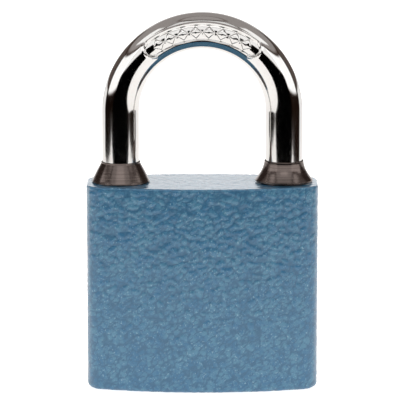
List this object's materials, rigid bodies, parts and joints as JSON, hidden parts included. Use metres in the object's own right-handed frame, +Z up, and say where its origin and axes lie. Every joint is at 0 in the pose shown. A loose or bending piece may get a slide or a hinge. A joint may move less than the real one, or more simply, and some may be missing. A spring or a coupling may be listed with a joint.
{
  "type": "padlock",
  "caption": "Solid-bodied padlock with a round steel shackle, two flared collars at its base and a keyed cylinder in the underside.",
  "frame": {"origin": "middle of the body's flat base", "axes": "+Z up through the shackle, +X towards the toe leg, -Y towards the front face"},
  "size_m": [0.05, 0.0208, 0.0817],
  "materials": {
    "body_paint": "blue hammertone enamel",
    "collar_black_nickel": "black nickel over hardened steel",
    "shackle_chrome": "bright chrome over hardened steel",
    "cylinder_brass": "turned brass",
    "bolt_steel": "ground steel",
    "spring_steel": "drawn spring wire"
  },
  "bodies": {
    "lock_body": {"body": "body_paint", "side_plug": "body_paint", "heel_pin": "body_paint", "barrel_pin": "body_paint", "collar_left": "collar_black_nickel", "collar_right": "collar_black_nickel", "cylinder_barrel": "cylinder_brass", "shackle_spring": "spring_steel", "driver_pin_1": "bolt_steel", "driver_pin_2": "bolt_steel", "driver_pin_3": "bolt_steel", "driver_pin_4": "bolt_steel", "driver_pin_5": "bolt_steel", "pin_spring_1": "spring_steel", "pin_spring_2": "spring_steel", "pin_spring_3": "spring_steel", "pin_spring_4": "spring_steel", "pin_spring_5": "spring_steel"},
    "shackle": {"shackle": "shackle_chrome"},
    "plug_group": {"plug": "cylinder_brass", "circlip": "spring_steel", "cam": "bolt_steel", "key_pin_1": "cylinder_brass", "key_pin_2": "cylinder_brass", "key_pin_3": "cylinder_brass", "key_pin_4": "cylinder_brass", "key_pin_5": "cylinder_brass"},
    "bolt_left": {"bolt_left": "bolt_steel", "bolt_spring_rear": "spring_steel"},
    "bolt_right": {"bolt_right": "bolt_steel", "bolt_spring_front": "spring_steel"}
  },
  "joints": [
    {"name": "shackle_lift", "type": "slide", "parent": "lock_body", "child": "shackle", "axis": [0, 0, 1], "range_m": [0, 0.0175], "deforming": ["shackle_spring"]},
    {"name": "plug_turn", "type": "hinge", "parent": "lock_body", "child": "plug_group", "pos_m": [0, 0, 0], "axis": [0, 0, 1], "range_deg": [-90, 0]},
    {"name": "bolt_left_slide", "type": "slide", "parent": "lock_body", "child": "bolt_left", "axis": [-1, 0, 0], "range_m": [0, 0.002], "deforming": ["bolt_spring_rear"]},
    {"name": "bolt_right_slide", "type": "slide", "parent": "lock_body", "child": "bolt_right", "axis": [1, 0, 0], "range_m": [0, 0.002], "deforming": ["bolt_spring_front"]}
  ],
  "couplings": [
    {"joint": "bolt_left_slide", "follows": "plug_turn", "m_per_rad": -0.0012732},
    {"joint": "bolt_right_slide", "follows": "plug_turn", "m_per_rad": -0.0012732}
  ]
}
